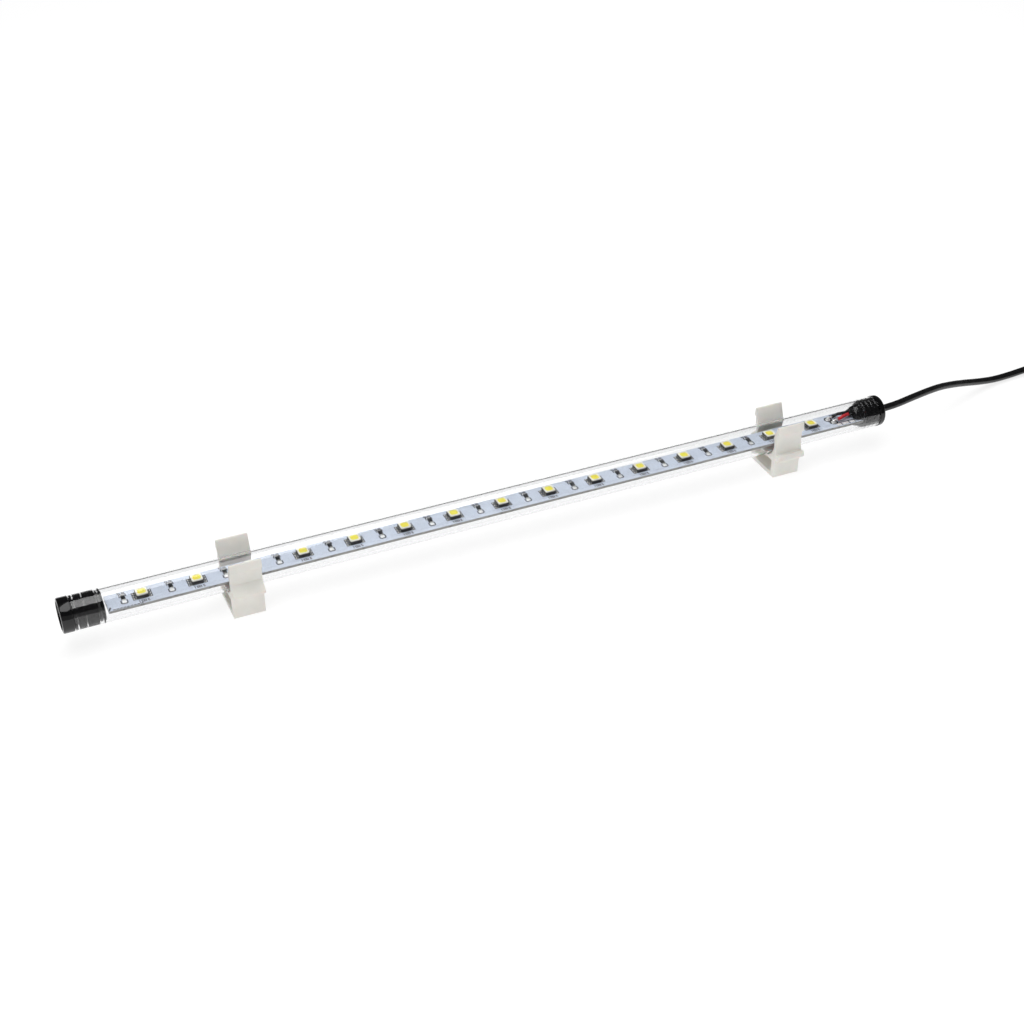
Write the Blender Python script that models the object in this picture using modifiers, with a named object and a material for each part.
"""Clear tube aquarium light: a row of LEDs on a board inside a sealed round tube.

The tube lies along X, its middle above the origin, and stands on two push-on clips at Z = 0.
The lead leaves the right-hand cap, sinks to the ground and ends in a tied hank with its plug.
All lengths are in metres.
"""
import math

import bpy
import bmesh
from mathutils import Vector

# ---------------------------------------------------------------- driving sizes
GAP = 0.0003                 # left between pieces that touch on the real light

OVERALL_LENGTH = 0.360       # end face to end face
TUBE_RADIUS = 0.0067
TUBE_WALL = 0.0008

COLLAR_PROUD = 0.00015       # how far the caps' collars stand out from the tube
LEFT_COLLAR = 0.0044
RIGHT_COLLAR = 0.0028
LEFT_PLUG = 0.0118           # length of the left cap inside the tube
RIGHT_PLUG = 0.0119          # length of the right cap inside the tube
PLUG_CLEARANCE = 0.00015     # round the plugs, inside the tube
GROOVE_DEPTH = 0.00085
SEAL_SLACK = 0.00008          # round the seal ring, so that it turns freely here
RIB_COUNT = 4
RIB_PITCH = 0.0021
RIB_DEPTH = 0.0007           # of the right cap's ribs

BOARD_SIDE_SPACE = 0.0009    # left between the board's long edges and the tube
BOARD_THICKNESS = 0.0012
BOARD_TOP = 0.0003           # height of the board's upper face above the tube's axis
BOARD_IN_CAP = 0.0037        # how far the board reaches into the right cap
BOARD_END_SPACE = 0.0011     # left between the board and the left cap

LED_COUNT = 15
LEFT_MARGIN = 0.0135         # board's left end to the first LED's middle
RIGHT_MARGIN = 0.0242        # last LED's middle to the board's right end, with the solder joints
LED_SIDE = 0.0048
LED_HEIGHT = 0.0016
LED_EDGE = 0.0002

CHIP_LENGTH = 0.0032         # resistor, across the board
CHIP_WIDTH = 0.0016
CHIP_HEIGHT = 0.0006
CHIP_SHIFT = 0.0006          # resistors sit a little right of the middle of each gap
FIRST_CHIP_SHIFT = 0.0036    # the one beside the left cap sits closer to its LED

CORD_RADIUS = 0.0016
CORE_RADIUS = 0.0007         # the two insulated cores inside the tube
CABLE_OVER_BOARD = 0.0004    # left between the sheathed cable and the board under it
INNER_CABLE_BARE = 0.0016    # sheathed cable that shows in front of the right cap
SOLDER_RADIUS = 0.0010
SOLDER_FROM_CAP = 0.0100     # from the right cap's nose to the solder joints
SOLDER_SPREAD = 0.0014       # the joints lie this far either side of the middle
SOLDER_STAGGER = 0.0006      # and this far ahead of and behind each other's middle

CLIP_LENGTH = 0.0126
CLIP_POSITIONS = {"left_clip": -0.1113, "right_clip": 0.1284}
CRADLE_WALL = 0.0011
CRADLE_LIFT = 0.0072         # from the ground to the underside of the cradle
WAIST_ANGLE = math.radians(30.0)
ARM_WALL = 0.0012
LIP_HEIGHT = 0.0034          # outer lip at the arms' tips
ARM_SPREAD = 0.0020          # the arms' tips stand this far outside the bore
ARM_RISE = 0.0025            # and this far above its top
BASE_OVERHANG = 0.0018       # the base is this much wider than the bore, each side
BASE_WALL = 0.0024
BASE_FLOOR = 0.0020
LEDGE_REACH = 0.0051         # hook and wing reach this far outside the bore

LEAD_SPAN = 0.1035           # along X, from the cap's end to the hank
LEAD_LANE_Y = 0.0192         # the lead joins the hank here, on its far side
HANK_RUN = 0.062             # length of the straight runs
HANK_LANES = 3
HANK_LAYERS = 2
LANE_SPACE = 0.0002          # left between the hank's runs
TIE_WIDTH = 0.0060
TIE_THICKNESS = 0.0008

PLUG_BODY_RADIUS = 0.0050
PLUG_BODY_LENGTH = 0.0260
TAIL_SPAN = 0.0250           # along X, from the hank to the plug
PLUG_Y = 0.0125
SLEEVE_RADIUS = 0.00275
SLEEVE_WALL = 0.0004
SLEEVE_LENGTH = 0.0095
SOCKET_BORE_RADIUS = 0.00105

# ---------------------------------------------------------------- worked-out sizes
HALF_LENGTH = OVERALL_LENGTH / 2
TUBE_BORE = TUBE_RADIUS - TUBE_WALL
PLUG_RADIUS = TUBE_BORE - PLUG_CLEARANCE
GROOVE_ROOT = PLUG_RADIUS - GROOVE_DEPTH
SEAL_SECTION = (TUBE_BORE - GROOVE_ROOT) / 2 - SEAL_SLACK
RIB_ROOT = PLUG_RADIUS - RIB_DEPTH
COLLAR_RADIUS = TUBE_RADIUS + COLLAR_PROUD
CLIP_BORE = TUBE_RADIUS + GAP
AXIS_HEIGHT = CRADLE_LIFT + CRADLE_WALL + CLIP_BORE
TUBE_LEFT = -HALF_LENGTH + LEFT_COLLAR + GAP
TUBE_RIGHT = HALF_LENGTH - RIGHT_COLLAR - GAP
LEFT_NOSE = -HALF_LENGTH + LEFT_COLLAR + LEFT_PLUG
RIGHT_NOSE = HALF_LENGTH - RIGHT_COLLAR - RIGHT_PLUG
BOARD_LEFT = LEFT_NOSE + BOARD_END_SPACE
BOARD_RIGHT = RIGHT_NOSE + BOARD_IN_CAP
BOARD_TOP_Z = AXIS_HEIGHT + BOARD_TOP
BOARD_DROP = max(BOARD_TOP, BOARD_THICKNESS - BOARD_TOP)
BOARD_HALF = math.sqrt(TUBE_BORE ** 2 - BOARD_DROP ** 2) - BOARD_SIDE_SPACE
FIRST_LED_X = BOARD_LEFT + LEFT_MARGIN
LED_PITCH = (BOARD_RIGHT - RIGHT_MARGIN - FIRST_LED_X) / (LED_COUNT - 1)
CABLE_BORE = CORD_RADIUS + GAP
INNER_CABLE_RISE = BOARD_TOP + CORD_RADIUS + CABLE_OVER_BOARD
SOLDER_X = RIGHT_NOSE - SOLDER_FROM_CAP
LANE_PITCH = 2 * CORD_RADIUS + LANE_SPACE
INNER_FOLD_RADIUS = 3 * 2 * CORD_RADIUS
OUTER_RUN = INNER_FOLD_RADIUS + LANE_PITCH * (HANK_LANES - 1)
HANK_HALF_WIDTH = OUTER_RUN + CORD_RADIUS + LANE_SPACE
HANK_MIDDLE_Y = LEAD_LANE_Y - OUTER_RUN
HANK_ENTRY = math.sqrt(HANK_HALF_WIDTH ** 2 - (OUTER_RUN - CORD_RADIUS) ** 2) + 3 * GAP
HANK_START = HALF_LENGTH + LEAD_SPAN + HANK_ENTRY
HANK_END = HANK_START + HANK_RUN
HANK_BOTTOM = TIE_THICKNESS + GAP
HANK_TOP = HANK_BOTTOM + 2 * CORD_RADIUS * HANK_LAYERS + LANE_SPACE
PLUG_X = HANK_END + HANK_ENTRY + TAIL_SPAN
TOP_LAYER_Z = HANK_BOTTOM + CORD_RADIUS * (2 * HANK_LAYERS - 1)

# the lead from the cap to the hank: hand-placed points (X, Y, Z)
LEAD_ROUTE = [
    (HALF_LENGTH + GAP, 0.0, AXIS_HEIGHT),
    (HALF_LENGTH + 0.0060, 0.0002, AXIS_HEIGHT),
    (HALF_LENGTH + 0.0120, 0.0008, AXIS_HEIGHT + 0.0001),
    (HALF_LENGTH + 0.0200, 0.0026, AXIS_HEIGHT - 0.0001),
    (HALF_LENGTH + 0.0300, 0.0054, AXIS_HEIGHT - 0.0010),
    (HALF_LENGTH + 0.0400, 0.0084, 0.0128),
    (HALF_LENGTH + 0.0500, 0.0113, 0.0103),
    (HALF_LENGTH + 0.0600, 0.0139, 0.0074),
    (HALF_LENGTH + 0.0700, 0.0160, 0.0046),
    (HALF_LENGTH + 0.0800, 0.0176, 0.0026),
    (HALF_LENGTH + 0.0900, LEAD_LANE_Y - 0.0005, 0.0020),
    (HALF_LENGTH + 0.0975, LEAD_LANE_Y - 0.0001, 0.0023),
    (HALF_LENGTH + LEAD_SPAN, LEAD_LANE_Y, HANK_BOTTOM + CORD_RADIUS),
]
# the tail from the hank to the plug
TAIL_ROUTE = [
    (HANK_END + HANK_ENTRY, LEAD_LANE_Y, TOP_LAYER_Z),
    (PLUG_X - 0.0195, 0.0185, TOP_LAYER_Z - 0.0001),
    (PLUG_X - 0.0135, 0.0163, TOP_LAYER_Z - 0.0005),
    (PLUG_X - 0.0075, 0.0139, PLUG_BODY_RADIUS + 0.0001),
    (PLUG_X - 0.0035, 0.0128, PLUG_BODY_RADIUS),
    (PLUG_X - GAP, PLUG_Y, PLUG_BODY_RADIUS),
]

TURN_STEPS = 40              # sides of a turned piece
FACE_UP = math.pi / 2


# ---------------------------------------------------------------- scene and materials
def clear_scene():
    """Remove every object that the file opened with."""
    for old in list(bpy.data.objects):
        bpy.data.objects.remove(old, do_unlink=True)


def new_collection(name):
    """Make a collection under the scene's own."""
    collection = bpy.data.collections.new(name)
    bpy.context.scene.collection.children.link(collection)
    return collection


def plain_material(name, colour, roughness, metallic=0.0, alpha=1.0):
    """A Principled material with one colour."""
    material = bpy.data.materials.new(name)
    material.use_nodes = True
    shader = material.node_tree.nodes["Principled BSDF"]
    shader.inputs["Base Color"].default_value = (*colour, 1.0)
    shader.inputs["Roughness"].default_value = roughness
    shader.inputs["Metallic"].default_value = metallic
    shader.inputs["Alpha"].default_value = alpha
    material.diffuse_color = (*colour, alpha)
    return material


def make_materials():
    """One material for each kind of piece."""
    return {
        "clear": plain_material("clear_tube_wall", (0.95, 0.96, 0.97), 0.05, alpha=0.3),
        "black": plain_material("black_moulding", (0.012, 0.012, 0.013), 0.30),
        "seal": plain_material("seal_rubber", (0.020, 0.020, 0.020), 0.55),
        "board": plain_material("board_coating", (0.54, 0.58, 0.66), 0.45),
        "led": plain_material("led_housing", (0.80, 0.79, 0.70), 0.40),
        "chip": plain_material("resistor_body", (0.020, 0.020, 0.022), 0.40),
        "solder": plain_material("solder", (0.75, 0.75, 0.76), 0.25, metallic=1.0),
        "red": plain_material("red_core", (0.55, 0.02, 0.02), 0.40),
        "sheath": plain_material("cord_sheath", (0.015, 0.015, 0.016), 0.35),
        "clip": plain_material("clip_plastic", (0.72, 0.71, 0.68), 0.45),
        "tie": plain_material("tie_plastic", (0.03, 0.03, 0.03), 0.50),
        "nickel": plain_material("plug_nickel", (0.70, 0.69, 0.66), 0.22, metallic=1.0),
    }


# ---------------------------------------------------------------- shape helpers
def add_object(name, mesh, collection, material):
    """Wrap a mesh in an object of the collection and give it its material."""
    obj = bpy.data.objects.new(name, mesh)
    mesh.materials.clear()
    mesh.materials.append(material)
    collection.objects.link(obj)
    return obj


def shade_round(mesh, degrees=35.0):
    """Shade smooth, but keep edges sharper than the angle."""
    mesh.shade_smooth()
    mesh.set_sharp_from_angle(angle=math.radians(degrees))


def box_mesh(name, low, high):
    """A box between two corners, with its vertices in place."""
    low, high = Vector(low), Vector(high)
    bm = bmesh.new()
    bmesh.ops.create_cube(bm, size=1.0)
    size = high - low
    bmesh.ops.scale(bm, vec=size, verts=bm.verts)
    bmesh.ops.translate(bm, vec=(low + high) / 2, verts=bm.verts)
    mesh = bpy.data.meshes.new(name)
    bm.to_mesh(mesh)
    bm.free()
    return mesh


def turned(name, profile, collection, material, closed=False, steps=TURN_STEPS):
    """Turn (radius, x) points about the X axis. The profile runs from high X to low X outside."""
    bm = bmesh.new()
    corners = [bm.verts.new((radius, 0.0, x)) for radius, x in profile]
    for first, second in zip(corners, corners[1:]):
        bm.edges.new((first, second))
    if closed:
        bm.edges.new((corners[-1], corners[0]))
    mesh = bpy.data.meshes.new(name)
    bm.to_mesh(mesh)
    bm.free()
    obj = add_object(name, mesh, collection, material)
    screw = obj.modifiers.new("turn", "SCREW")
    screw.axis = "Z"
    screw.steps = steps
    screw.render_steps = steps
    screw.use_merge_vertices = True
    screw.merge_threshold = 0.00001
    screw.use_smooth_shade = False
    obj.rotation_euler = (0.0, FACE_UP, 0.0)
    return obj


def mesh_from_curve(curve_object, name, collection, material):
    """Swap a curve object for a welded mesh object in the same place."""
    bpy.context.view_layer.update()
    depsgraph = bpy.context.evaluated_depsgraph_get()
    mesh = bpy.data.meshes.new_from_object(curve_object.evaluated_get(depsgraph))
    mesh.name = name
    place = curve_object.matrix_world.copy()
    bpy.data.objects.remove(curve_object, do_unlink=True)
    bm = bmesh.new()
    bm.from_mesh(mesh)
    bmesh.ops.remove_doubles(bm, verts=bm.verts, dist=0.000005)
    bmesh.ops.recalc_face_normals(bm, faces=bm.faces)
    bm.to_mesh(mesh)
    bm.free()
    obj = add_object(name, mesh, collection, material)
    obj.matrix_world = place
    return obj


def flat_outline(name, outlines, thickness, collection, material):
    """Extrude closed outlines, the first being the outside and the rest holes."""
    curve = bpy.data.curves.new(name + "_outline", "CURVE")
    curve.dimensions = "2D"
    curve.fill_mode = "BOTH"
    curve.extrude = thickness / 2
    for outline in outlines:
        spline = curve.splines.new("POLY")
        spline.points.add(len(outline) - 1)
        for point, (x, y) in zip(spline.points, outline):
            point.co = (x, y, 0.0, 1.0)
        spline.use_cyclic_u = True
    obj = bpy.data.objects.new(name + "_outline", curve)
    collection.objects.link(obj)
    return mesh_from_curve(obj, name, collection, material)


def smooth_route(points, spacing):
    """Points at an even spacing along a smooth curve through the route's own points."""
    knots = [Vector(point) for point in points]
    ends = [2 * knots[0] - knots[1]] + knots + [2 * knots[-1] - knots[-2]]
    dense = []
    for p0, p1, p2, p3 in zip(ends, ends[1:], ends[2:], ends[3:]):
        for step in range(24):
            t = step / 24
            bend = 2 * p0 - 5 * p1 + 4 * p2 - p3
            twist = 3 * p1 - p0 - 3 * p2 + p3
            dense.append(0.5 * (2 * p1 + (p2 - p0) * t + bend * t * t + twist * t ** 3))
    dense.append(knots[-1])
    total = sum((b - a).length for a, b in zip(dense, dense[1:]))
    count = max(2, round(total / spacing))
    even, travelled, wanted = [dense[0]], 0.0, total / count
    for a, b in zip(dense, dense[1:]):
        length = (b - a).length
        while len(even) < count and travelled + length >= wanted:
            even.append(a.lerp(b, (wanted - travelled) / length))
            wanted += total / count
        travelled += length
    even.append(dense[-1])
    return even


def round_wire(name, points, radius, collection, material, resolution=2):
    """A round wire with flat filled ends along a line of points."""
    curve = bpy.data.curves.new(name + "_line", "CURVE")
    curve.dimensions = "3D"
    curve.bevel_depth = radius
    curve.bevel_resolution = resolution
    curve.use_fill_caps = True
    spline = curve.splines.new("POLY")
    spline.points.add(len(points) - 1)
    for point, place in zip(spline.points, points):
        point.co = (*place, 1.0)
    obj = bpy.data.objects.new(name + "_line", curve)
    collection.objects.link(obj)
    wire = mesh_from_curve(obj, name, collection, material)
    shade_round(wire.data)
    return wire


def cut(obj, cutter, cutters):
    """Take the cutter's volume out of the object."""
    cutter.hide_render = True
    cutter.display_type = "WIRE"
    if cutter.name not in cutters.objects:
        cutters.objects.link(cutter)
    boolean = obj.modifiers.new("cut_" + cutter.name, "BOOLEAN")
    boolean.operation = "DIFFERENCE"
    boolean.solver = "EXACT"
    boolean.object = cutter


def arc(centre_x, centre_y, radius, start, end, count):
    """Points on a circular arc, both ends included. Angles in degrees."""
    points = []
    for index in range(count + 1):
        angle = math.radians(start + (end - start) * index / count)
        points.append((centre_x + radius * math.cos(angle), centre_y + radius * math.sin(angle)))
    return points


# ---------------------------------------------------------------- tube and caps
def make_tube(parts, materials):
    """The clear tube between the two collars."""
    profile = [
        (TUBE_RADIUS, TUBE_RIGHT),
        (TUBE_RADIUS, TUBE_LEFT),
        (TUBE_BORE, TUBE_LEFT),
        (TUBE_BORE, TUBE_RIGHT),
    ]
    tube = turned("clear_tube", profile, parts, materials["clear"], closed=True, steps=48)
    tube.location.z = AXIS_HEIGHT


def make_left_cap(parts, materials):
    """Closed cap: a collar outside the tube, a plug inside it, a groove for the seal ring."""
    root = GROOVE_ROOT
    shoulder = -HALF_LENGTH + LEFT_COLLAR
    chamfer = 0.0005
    ring_x = LEFT_NOSE - 0.0018
    half_groove = SEAL_SECTION + GAP
    mid_groove = shoulder + LEFT_PLUG * 0.40
    profile = [
        (0.0, LEFT_NOSE),
        (PLUG_RADIUS - chamfer, LEFT_NOSE),
        (PLUG_RADIUS, LEFT_NOSE - chamfer),
        (PLUG_RADIUS, ring_x + half_groove),
        (root, ring_x + half_groove),
        (root, ring_x - half_groove),
        (PLUG_RADIUS, ring_x - half_groove),
        (PLUG_RADIUS, mid_groove + 0.0006),
        (root, mid_groove + 0.0004),
        (root, mid_groove - 0.0004),
        (PLUG_RADIUS, mid_groove - 0.0006),
        (PLUG_RADIUS, shoulder + 0.0020),
        (root, shoulder + 0.0018),
        (root, shoulder + 0.0009),
        (PLUG_RADIUS, shoulder + 0.0007),
        (PLUG_RADIUS, shoulder),
        (COLLAR_RADIUS, shoulder),
        (COLLAR_RADIUS, -HALF_LENGTH + chamfer),
        (COLLAR_RADIUS - chamfer, -HALF_LENGTH),
        (0.0, -HALF_LENGTH),
    ]
    cap = turned("left_end_cap", profile, parts, materials["black"])
    cap.location.z = AXIS_HEIGHT
    ring_radius = root + SEAL_SLACK + SEAL_SECTION
    circle = arc(0.0, 0.0, SEAL_SECTION, -270, 90, 12)[:-1]
    loop = [(ring_radius + y, ring_x + x) for x, y in circle]
    ring = turned("left_seal_ring", loop, parts, materials["seal"], closed=True)
    ring.location.z = AXIS_HEIGHT


def right_cap_profile():
    """Outside of the right cap and the wall of its bore, from the nose round to the nose."""
    shoulder = HALF_LENGTH - RIGHT_COLLAR
    root = RIB_ROOT
    rounding = arc(COLLAR_RADIUS - 0.0012, HALF_LENGTH - 0.0012, 0.0012, 90, 0, 5)
    profile = [(CABLE_BORE, HALF_LENGTH)]
    profile += rounding
    profile += [(COLLAR_RADIUS, shoulder), (root, shoulder)]
    for rib in range(RIB_COUNT):
        top = shoulder - 0.0004 - rib * RIB_PITCH
        profile += [(root, top), (PLUG_RADIUS, top - 0.0003), (PLUG_RADIUS, top - 0.0007),
                    (root, top - 0.0012)]
    ribs_end = shoulder - 0.0004 - (RIB_COUNT - 1) * RIB_PITCH - 0.0014
    dome = arc(CABLE_BORE + 0.0010, ribs_end, root - CABLE_BORE - 0.0010, 0, -85, 7)
    nose_scale = (ribs_end - RIGHT_NOSE) / (ribs_end - dome[-1][1])
    profile += [(radius, ribs_end + (x - ribs_end) * nose_scale) for radius, x in dome]
    profile.append((CABLE_BORE, RIGHT_NOSE))
    return profile


def make_right_cap(parts, cutters, materials):
    """Cap with the lead's outlet, sealing ribs, and a slot that holds the board's end."""
    cap = turned("right_end_cap", right_cap_profile(), parts, materials["black"], closed=True)
    cap.location.z = AXIS_HEIGHT
    half_slot = BOARD_HALF + GAP
    slot = box_mesh("board_slot", (RIGHT_NOSE - 0.001, -half_slot, BOARD_TOP_Z - BOARD_THICKNESS - GAP),
                    (BOARD_RIGHT + GAP, half_slot, BOARD_TOP_Z + GAP))
    cut(cap, add_object("board_slot", slot, cutters, materials["black"]), cutters)
    arch = arc(0.0, INNER_CABLE_RISE, CABLE_BORE, 0, 180, 12)
    arch += [(-CABLE_BORE, -0.0005), (CABLE_BORE, -0.0005)]
    start, end = RIGHT_NOSE - 0.001, BOARD_RIGHT + 0.0065
    channel = flat_outline("cable_channel", [arch], end - start, cutters, materials["black"])
    channel.rotation_euler = (FACE_UP, 0.0, FACE_UP)
    channel.location = ((start + end) / 2, 0.0, AXIS_HEIGHT)
    cut(cap, channel, cutters)


# ---------------------------------------------------------------- board, LEDs and wiring
def make_board(parts, materials):
    """The rigid board that carries the LEDs."""
    mesh = box_mesh("led_board", (BOARD_LEFT, -BOARD_HALF, BOARD_TOP_Z - BOARD_THICKNESS),
                    (BOARD_RIGHT, BOARD_HALF, BOARD_TOP_Z))
    add_object("led_board", mesh, parts, materials["board"])


def led_x(number):
    """X of an LED's middle, counted from 1 at the left."""
    return FIRST_LED_X + (number - 1) * LED_PITCH


def make_leds(parts, materials):
    """Square LED housings, all sharing one mesh."""
    half = LED_SIDE / 2
    mesh = box_mesh("led_housing", (-half, -half, 0.0), (half, half, LED_HEIGHT))
    for number in range(1, LED_COUNT + 1):
        led = add_object(f"led_{number:02d}", mesh, parts, materials["led"])
        led.location = (led_x(number), 0.0, BOARD_TOP_Z + GAP)
        bevel = led.modifiers.new("edge", "BEVEL")
        bevel.width = LED_EDGE
        bevel.segments = 1


def make_resistors(parts, materials):
    """One chip resistor to the left of each LED, long side across the board."""
    low = (-CHIP_WIDTH / 2, -CHIP_LENGTH / 2, 0.0)
    high = (CHIP_WIDTH / 2, CHIP_LENGTH / 2, CHIP_HEIGHT)
    mesh = box_mesh("resistor_chip", low, high)
    for number in range(1, LED_COUNT + 1):
        shift = FIRST_CHIP_SHIFT if number == 1 else CHIP_SHIFT
        chip = add_object(f"resistor_{number:02d}", mesh, parts, materials["chip"])
        chip.location = (led_x(number) - LED_PITCH / 2 + shift, 0.0005, BOARD_TOP_Z + GAP)


def make_solder(parts, materials):
    """Two domed solder joints where the cores reach the board."""
    for name, side in (("black_solder_joint", 1), ("red_solder_joint", -1)):
        dome = arc(0.0, 0.0, SOLDER_RADIUS, 90, 0, 6)
        profile = [(radius, height) for radius, height in dome] + [(0.0, 0.0)]
        profile[0] = (0.0, SOLDER_RADIUS)
        joint = turned(name, profile, parts, materials["solder"], steps=20)
        joint.rotation_euler = (0.0, 0.0, 0.0)
        joint.location = (SOLDER_X - side * SOLDER_STAGGER, side * SOLDER_SPREAD, BOARD_TOP_Z + GAP)


def make_inner_wiring(parts, materials):
    """The cable inside the right cap and the two cores to the solder joints."""
    raised = AXIS_HEIGHT + INNER_CABLE_RISE
    cable_end = RIGHT_NOSE - INNER_CABLE_BARE
    route = [
        (HALF_LENGTH - GAP, 0.0, AXIS_HEIGHT),
        (HALF_LENGTH - 0.0020, 0.0, AXIS_HEIGHT),
        (BOARD_RIGHT + 0.0055, 0.0, AXIS_HEIGHT + 0.0002),
        (BOARD_RIGHT + 0.0015, 0.0, raised - 0.0003),
        (BOARD_RIGHT - 0.0020, 0.0, raised),
        (cable_end, 0.0, raised),
    ]
    round_wire("inner_cable", smooth_route(route, 0.002), CORD_RADIUS, parts, materials["sheath"])
    top = BOARD_TOP_Z + GAP + CORE_RADIUS + 0.0001
    for name, side, slot in (("black_lead", 1, "sheath"), ("red_lead", -1, "red")):
        y = side * SOLDER_SPREAD
        joint_x = SOLDER_X - side * SOLDER_STAGGER + SOLDER_RADIUS + GAP
        route = [
            (cable_end - GAP, side * 0.0008, raised),
            (cable_end - 0.0025, side * 0.0011, raised - 0.0002),
            ((cable_end + joint_x) / 2, y, (raised + top) / 2 + 0.0002),
            (joint_x + 0.0020, y, top + 0.0002),
            (joint_x, y, top),
        ]
        round_wire(name, smooth_route(route, 0.0012), CORE_RADIUS, parts, materials[slot])


# ---------------------------------------------------------------- clips
def arm_top():
    """The rounded tip of an arm, from its inner side over the top to its outer side."""
    tip_out = CLIP_BORE + ARM_SPREAD
    tip_up = CLIP_BORE + ARM_RISE
    return arc(tip_out, tip_up, ARM_WALL / 2, 155, -12, 6)


def lip():
    """Outside of an arm's lip and the step in under it."""
    out, up = CLIP_BORE + ARM_SPREAD, CLIP_BORE + ARM_RISE
    return [
        (out + ARM_WALL * 0.80, up - LIP_HEIGHT + 0.0004),
        (out + ARM_WALL * 0.65, up - LIP_HEIGHT),
        (out - ARM_WALL * 0.25, up - LIP_HEIGHT - 0.0001),
    ]


def hook_side(base_half):
    """Outside of the arm that ends in an upturned hook, from the tip to the base."""
    return lip() + [
        (CLIP_BORE + 0.0016, 0.0008),
        (CLIP_BORE + 0.0021, -0.0020),
        (CLIP_BORE + 0.0025, -0.0032),
        (CLIP_BORE + 0.0034, -0.0035),
        (CLIP_BORE + 0.0040, -0.0028),
        (CLIP_BORE + 0.0045, -0.0030),
        (CLIP_BORE + LEDGE_REACH, -0.0042),
        (CLIP_BORE + LEDGE_REACH, -0.0054),
        (CLIP_BORE + 0.0044, -0.0061),
        (base_half, -0.0062),
    ]


def wing_side(base_half):
    """Outside of the arm that ends in a sloping finger wing, from the tip to the base."""
    return lip() + [
        (CLIP_BORE + 0.0014, 0.0002),
        (CLIP_BORE + 0.0043, -0.0026),
        (CLIP_BORE + LEDGE_REACH, -0.0032),
        (CLIP_BORE + LEDGE_REACH, -0.0042),
        (CLIP_BORE + 0.0043, -0.0047),
        (base_half, -0.0048),
    ]


def clip_outline():
    """Outside of the clip's section about the tube's axis, hook to the left."""
    base_half = CLIP_BORE + BASE_OVERHANG
    waist = math.degrees(WAIST_ANGLE)
    bore = arc(0.0, 0.0, CLIP_BORE, 180 - waist, 360 + waist, 40)
    right = arm_top() + wing_side(base_half) + [(base_half, -AXIS_HEIGHT)]
    left = arm_top() + hook_side(base_half) + [(base_half, -AXIS_HEIGHT)]
    return bore + right + [(-x, y) for x, y in reversed(left)]


def clip_hollow():
    """The hollow through the clip's base, under the cradle."""
    side = CLIP_BORE + BASE_OVERHANG - BASE_WALL
    bottom = -AXIS_HEIGHT + BASE_FLOOR
    cradle = CLIP_BORE + CRADLE_WALL
    top = -cradle + 0.0005
    corner = 0.0008
    reach = math.degrees(math.acos(-top / cradle))
    hollow = arc(-side + corner, bottom + corner, corner, 180, 270, 4)
    hollow += arc(side - corner, bottom + corner, corner, 270, 360, 4)
    hollow += arc(side - corner, top - corner, corner, 0, 90, 4)
    hollow += arc(0.0, 0.0, cradle, 270 + reach, 270 - reach, 8)
    hollow += arc(-side + corner, top - corner, corner, 90, 180, 4)
    return hollow


def make_clips(parts, materials):
    """Two identical push-on clips. The left one is turned round."""
    for name, x in CLIP_POSITIONS.items():
        clip = flat_outline(name, [clip_outline(), clip_hollow()], CLIP_LENGTH, parts,
                            materials["clip"])
        turn = FACE_UP if name == "right_clip" else -FACE_UP
        clip.rotation_euler = (FACE_UP, 0.0, turn)
        clip.location = (x, 0.0, AXIS_HEIGHT)
        shade_round(clip.data, 25.0)


# ---------------------------------------------------------------- lead, hank and plug
def make_cord(parts, materials):
    """The stretches of the lead that are not folded into the hank."""
    lead = smooth_route(LEAD_ROUTE, 2.2 * CORD_RADIUS * 2)
    round_wire("cord_lead", lead, CORD_RADIUS, parts, materials["sheath"])
    tail = smooth_route(TAIL_ROUTE, 1.5 * CORD_RADIUS * 2)
    round_wire("cord_tail", tail, CORD_RADIUS, parts, materials["sheath"])


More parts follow.
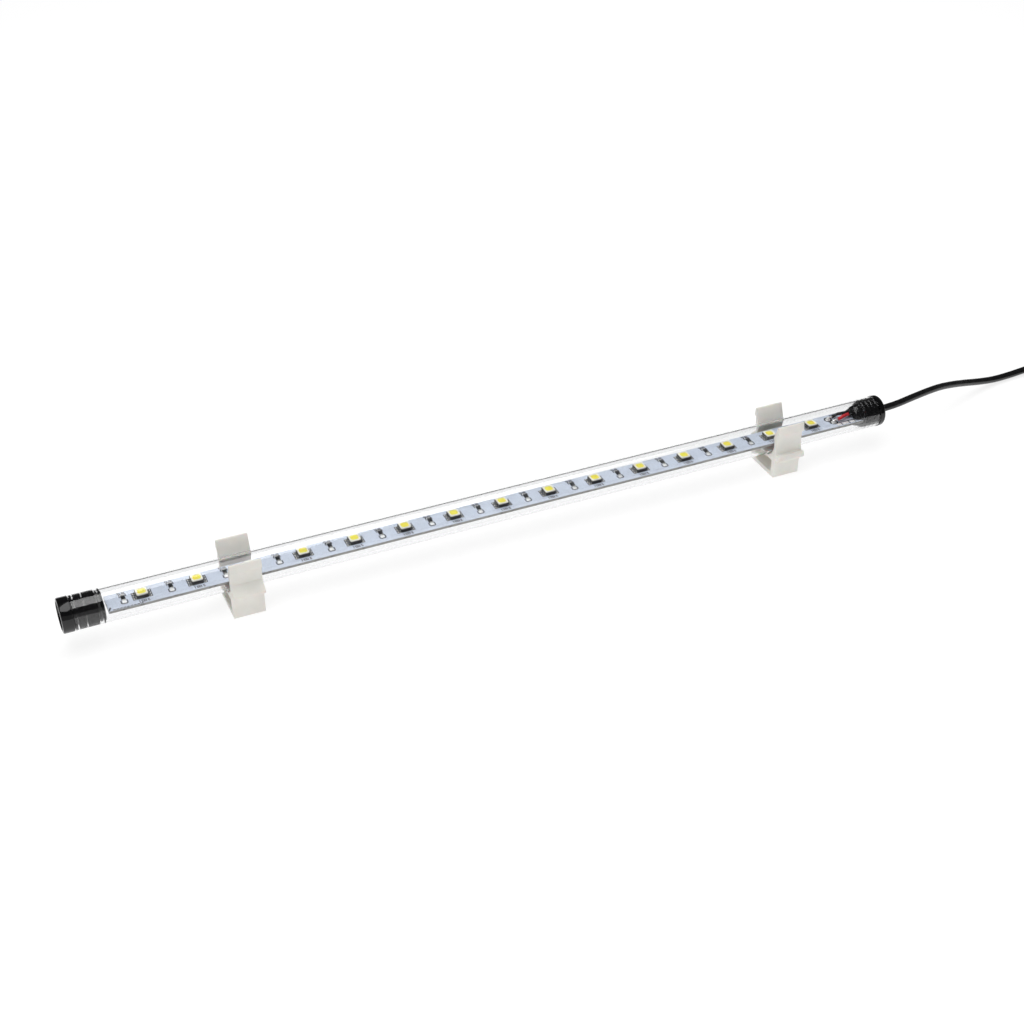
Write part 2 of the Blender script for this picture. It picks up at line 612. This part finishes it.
def make_hank(parts, materials):
    """The outer shape of the folded lead and the tie round its middle."""
    outline = arc(HANK_RUN / 2, 0.0, HANK_HALF_WIDTH, -90, 90, 16)
    outline += arc(-HANK_RUN / 2, 0.0, HANK_HALF_WIDTH, 90, 270, 16)
    middle = (HANK_START + HANK_END) / 2
    height = HANK_TOP - HANK_BOTTOM
    hank = flat_outline("cord_hank", [outline], height, parts, materials["sheath"])
    hank.location = (middle, HANK_MIDDLE_Y, (HANK_TOP + HANK_BOTTOM) / 2)
    inner_y, inner_z = HANK_HALF_WIDTH + GAP, height / 2 + GAP
    outer_y, outer_z = inner_y + TIE_THICKNESS, inner_z + TIE_THICKNESS
    loops = [[(y, -z), (y, z), (-y, z), (-y, -z)] for y, z in ((outer_y, outer_z), (inner_y, inner_z))]
    tie = flat_outline("hank_tie", loops, TIE_WIDTH, parts, materials["tie"])
    tie.rotation_euler = (FACE_UP, 0.0, FACE_UP)
    tie.location = hank.location


def make_plug(parts, materials):
    """Round low-voltage plug: a moulded body, a metal sleeve and the socket inside it."""
    end = PLUG_X + PLUG_BODY_LENGTH
    neck = CORD_RADIUS + 0.0006
    body = [
        (0.0, end),
        (PLUG_BODY_RADIUS - 0.0008, end),
        (PLUG_BODY_RADIUS, end - 0.0008),
        (PLUG_BODY_RADIUS, end - 0.0120),
        (PLUG_BODY_RADIUS - 0.0012, end - 0.0155),
        (neck + 0.0006, end - 0.0170),
        (neck, PLUG_X),
        (0.0, PLUG_X),
    ]
    bore = SLEEVE_RADIUS - SLEEVE_WALL
    start, tip = end + GAP, end + GAP + SLEEVE_LENGTH
    sleeve = [(SLEEVE_RADIUS, tip), (SLEEVE_RADIUS, start), (bore, start), (bore, tip)]
    core = bore - GAP
    socket = [(core, tip - 0.0004), (core, start), (SOCKET_BORE_RADIUS, start),
              (SOCKET_BORE_RADIUS, tip - 0.0004)]
    pieces = (
        turned("plug_body", body, parts, materials["black"], steps=28),
        turned("plug_sleeve", sleeve, parts, materials["nickel"], closed=True, steps=28),
        turned("plug_socket", socket, parts, materials["black"], closed=True, steps=24),
    )
    for piece in pieces:
        piece.location = (0.0, PLUG_Y, PLUG_BODY_RADIUS)


def main():
    """Build the whole light."""
    clear_scene()
    parts = new_collection("aquarium_light")
    cutters = new_collection("cutters")
    materials = make_materials()
    make_tube(parts, materials)
    make_left_cap(parts, materials)
    make_right_cap(parts, cutters, materials)
    make_board(parts, materials)
    make_leds(parts, materials)
    make_resistors(parts, materials)
    make_solder(parts, materials)
    make_inner_wiring(parts, materials)
    make_clips(parts, materials)
    make_cord(parts, materials)
    make_hank(parts, materials)
    make_plug(parts, materials)
    bpy.context.view_layer.update()


main()
